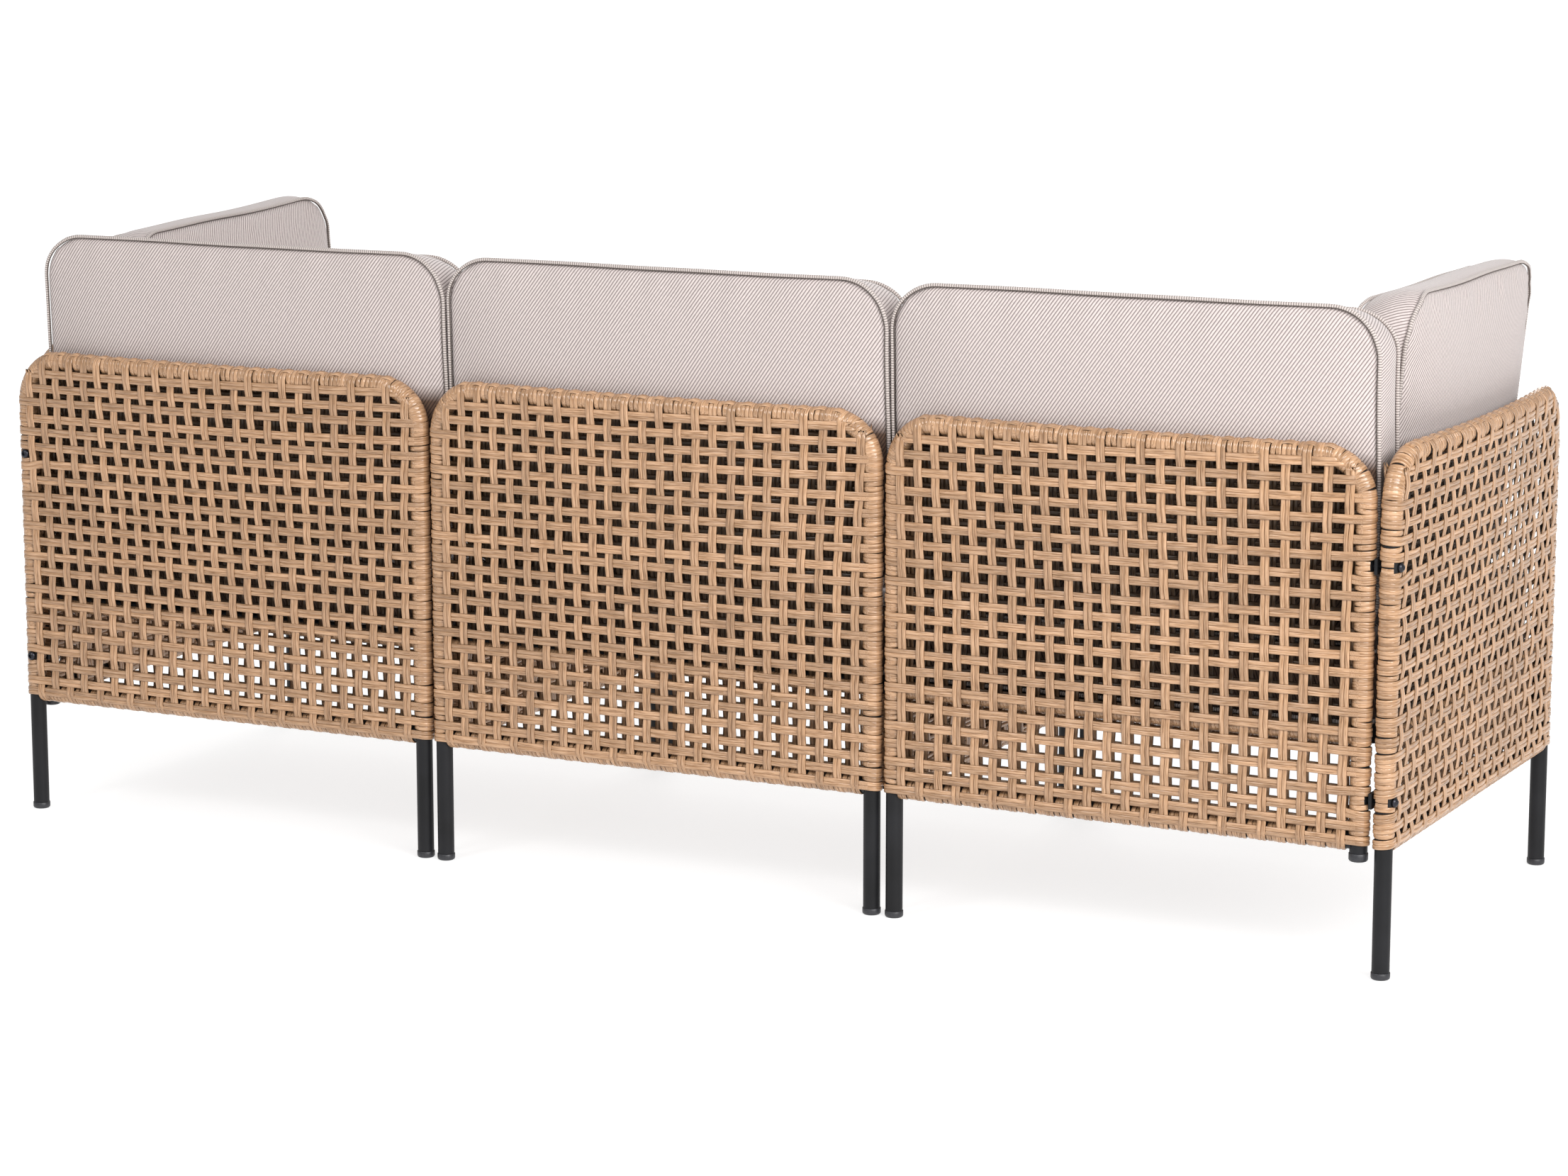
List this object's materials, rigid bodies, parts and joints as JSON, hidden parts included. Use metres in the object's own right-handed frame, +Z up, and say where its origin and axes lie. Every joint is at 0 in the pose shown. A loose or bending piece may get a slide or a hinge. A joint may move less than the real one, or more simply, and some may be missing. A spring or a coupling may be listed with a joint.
{
  "type": "modular garden sofa",
  "caption": "Straight garden sofa of loose modules: open rattan weave on black steel tube frames, with thick fabric seat, back and side cushions",
  "frame": {"origin": "on the ground, in the middle of the row's length and depth", "axes": "+X along the row to the right as seen from the front, +Y to the rear, where the backs are, +Z up; the sofa faces -Y"},
  "size_m": [2.3186, 0.7888, 0.9313],
  "materials": {
    "frame_steel": "anthracite powder coat, fine grained and half matt",
    "rattan": "half round synthetic rattan strands in warm tan with fine lengthwise grain, soft gloss on the bends",
    "cushion_fabric": "greige outdoor fabric with a fine diagonal rib, matt, with piped seams",
    "cap_plastic": "moulded black plastic, half matt",
    "bolt_steel": "black coated steel with a soft sheen"
  },
  "bodies": {
    "root": {"right_long_panel_frame": "frame_steel", "right_long_panel_weave": "rattan", "right_short_panel_frame": "frame_steel", "right_short_panel_weave": "rattan", "right_tube_cap": "cap_plastic", "right_corner_bolt_upper": "bolt_steel", "right_corner_bolt_lower": "bolt_steel", "right_corner_plate_upper": "frame_steel", "right_corner_plate_lower": "frame_steel", "right_seat_frame": "frame_steel", "right_front_skirt_weave": "rattan", "right_side_skirt_weave": "rattan", "right_seat_bolt_rear_left": "bolt_steel", "right_seat_bolt_rear_right": "bolt_steel", "right_seat_bolt_side": "bolt_steel", "right_foot_cap_corner": "cap_plastic", "right_foot_cap_long_end": "cap_plastic", "right_foot_cap_short_end": "cap_plastic", "right_foot_cap_free": "cap_plastic", "right_seat_cushion": "cushion_fabric", "left_long_panel_frame": "frame_steel", "left_long_panel_weave": "rattan", "left_short_panel_frame": "frame_steel", "left_short_panel_weave": "rattan", "left_tube_cap": "cap_plastic", "left_corner_bolt_upper": "bolt_steel", "left_corner_bolt_lower": "bolt_steel", "left_corner_plate_upper": "frame_steel", "left_corner_plate_lower": "frame_steel", "left_seat_frame": "frame_steel", "left_front_skirt_weave": "rattan", "left_side_skirt_weave": "rattan", "left_seat_bolt_rear_left": "bolt_steel", "left_seat_bolt_rear_right": "bolt_steel", "left_seat_bolt_side": "bolt_steel", "left_foot_cap_corner": "cap_plastic", "left_foot_cap_long_end": "cap_plastic", "left_foot_cap_short_end": "cap_plastic", "left_foot_cap_free": "cap_plastic", "left_seat_cushion": "cushion_fabric", "middle_panel_frame": "frame_steel", "middle_panel_weave": "rattan", "middle_seat_frame": "frame_steel", "middle_front_skirt_weave": "rattan", "middle_left_skirt_weave": "rattan", "middle_right_skirt_weave": "rattan", "middle_seat_bolt_rear_left": "bolt_steel", "middle_seat_bolt_rear_right": "bolt_steel", "middle_foot_cap_rear_right": "cap_plastic", "middle_foot_cap_rear_left": "cap_plastic", "middle_foot_cap_front_right": "cap_plastic", "middle_foot_cap_front_left": "cap_plastic", "middle_seat_cushion": "cushion_fabric", "left_back_cushion": "cushion_fabric", "middle_back_cushion": "cushion_fabric", "right_back_cushion": "cushion_fabric", "left_side_cushion": "cushion_fabric", "right_side_cushion": "cushion_fabric"}
  },
  "joints": []
}
